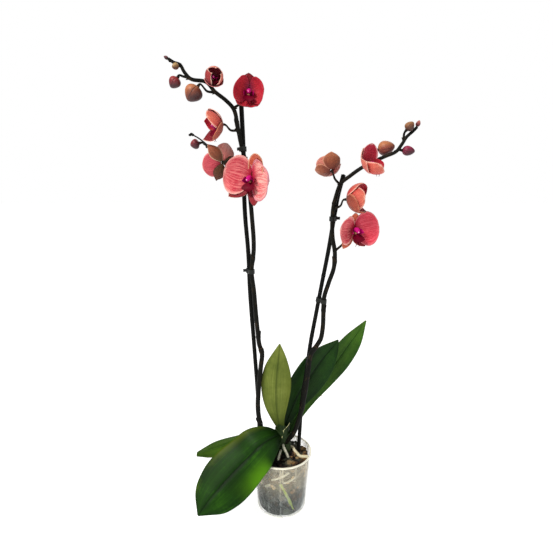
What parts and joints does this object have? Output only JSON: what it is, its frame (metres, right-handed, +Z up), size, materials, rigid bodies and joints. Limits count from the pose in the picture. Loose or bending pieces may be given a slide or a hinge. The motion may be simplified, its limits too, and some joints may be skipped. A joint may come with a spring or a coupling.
{
  "type": "potted orchid",
  "caption": "Potted moth orchid: arching flower spikes with blooms and buds clipped to canes, broad leaves, bark and roots in a clear plastic pot.",
  "frame": {"origin": "centre of the pot's underside, where it stands", "axes": "+Z up along the pot's axis; -Y is the side the plant shows to the room; +X to the right seen from that side"},
  "size_m": [0.3889, 0.1579, 0.8187],
  "materials": {
    "clear_pot": "gloss",
    "bark": "matte",
    "crown_green": "satin",
    "leaf_green": "satin",
    "leaf_underside": "satin",
    "root_cream": "matte",
    "root_green": "matte",
    "cane": "satin",
    "spike": "satin",
    "clip": "satin",
    "bud": "satin",
    "sepal": "matte",
    "petal": "matte",
    "lip": "satin"
  },
  "bodies": {
    "root": {"pot": "clear_pot", "bark_mix": "bark", "crown": "crown_green", "leaf_front_left": "leaf_green", "leaf_back_left": "leaf_green", "leaf_centre": "leaf_underside", "leaf_right_front": "leaf_green", "leaf_right_back": "leaf_green", "root_top_right": "root_cream", "root_top_front": "root_cream", "root_top_left": "root_cream", "root_aerial": "root_cream", "root_wall_green": "root_green", "root_wall_pale": "root_cream", "root_wall_short": "root_cream", "root_wall_left": "root_cream", "stick_left": "cane", "stick_right": "cane", "spike_left": "spike", "spike_right": "spike", "clip_left_top": "clip", "clip_left_middle": "clip", "clip_right_top": "clip", "clip_right_middle": "clip", "bud_left_1": "bud", "bud_left_2": "bud", "bud_left_3": "bud", "bud_left_4": "bud", "bud_left_side": "bud", "bud_right_1": "bud", "bud_right_2": "bud", "bud_right_3": "bud", "bud_right_4": "bud", "bloom_left_1_sepals": "sepal", "bloom_left_1_petals": "petal", "bloom_left_2_sepals": "sepal", "bloom_left_2_petal_left": "petal", "bloom_left_2_petal_right": "petal", "bloom_left_2_lip": "lip", "bloom_left_3_sepals": "sepal", "bloom_left_3_petals": "petal", "bloom_left_4_sepals": "sepal", "bloom_left_4_petals": "petal", "bloom_left_5_sepals": "sepal", "bloom_left_5_petal_left": "petal", "bloom_left_5_petal_right": "petal", "bloom_left_5_lip": "lip", "bloom_right_1_sepals": "sepal", "bloom_right_1_petal_left": "petal", "bloom_right_1_petal_right": "petal", "bloom_right_1_lip": "lip", "bloom_right_2_sepals": "sepal", "bloom_right_2_petals": "petal", "bloom_right_3_sepals": "sepal", "bloom_right_3_petals": "petal", "bloom_right_4_sepals": "sepal", "bloom_right_4_petal_left": "petal", "bloom_right_4_petal_right": "petal", "bloom_right_4_lip": "lip"}
  },
  "joints": []
}
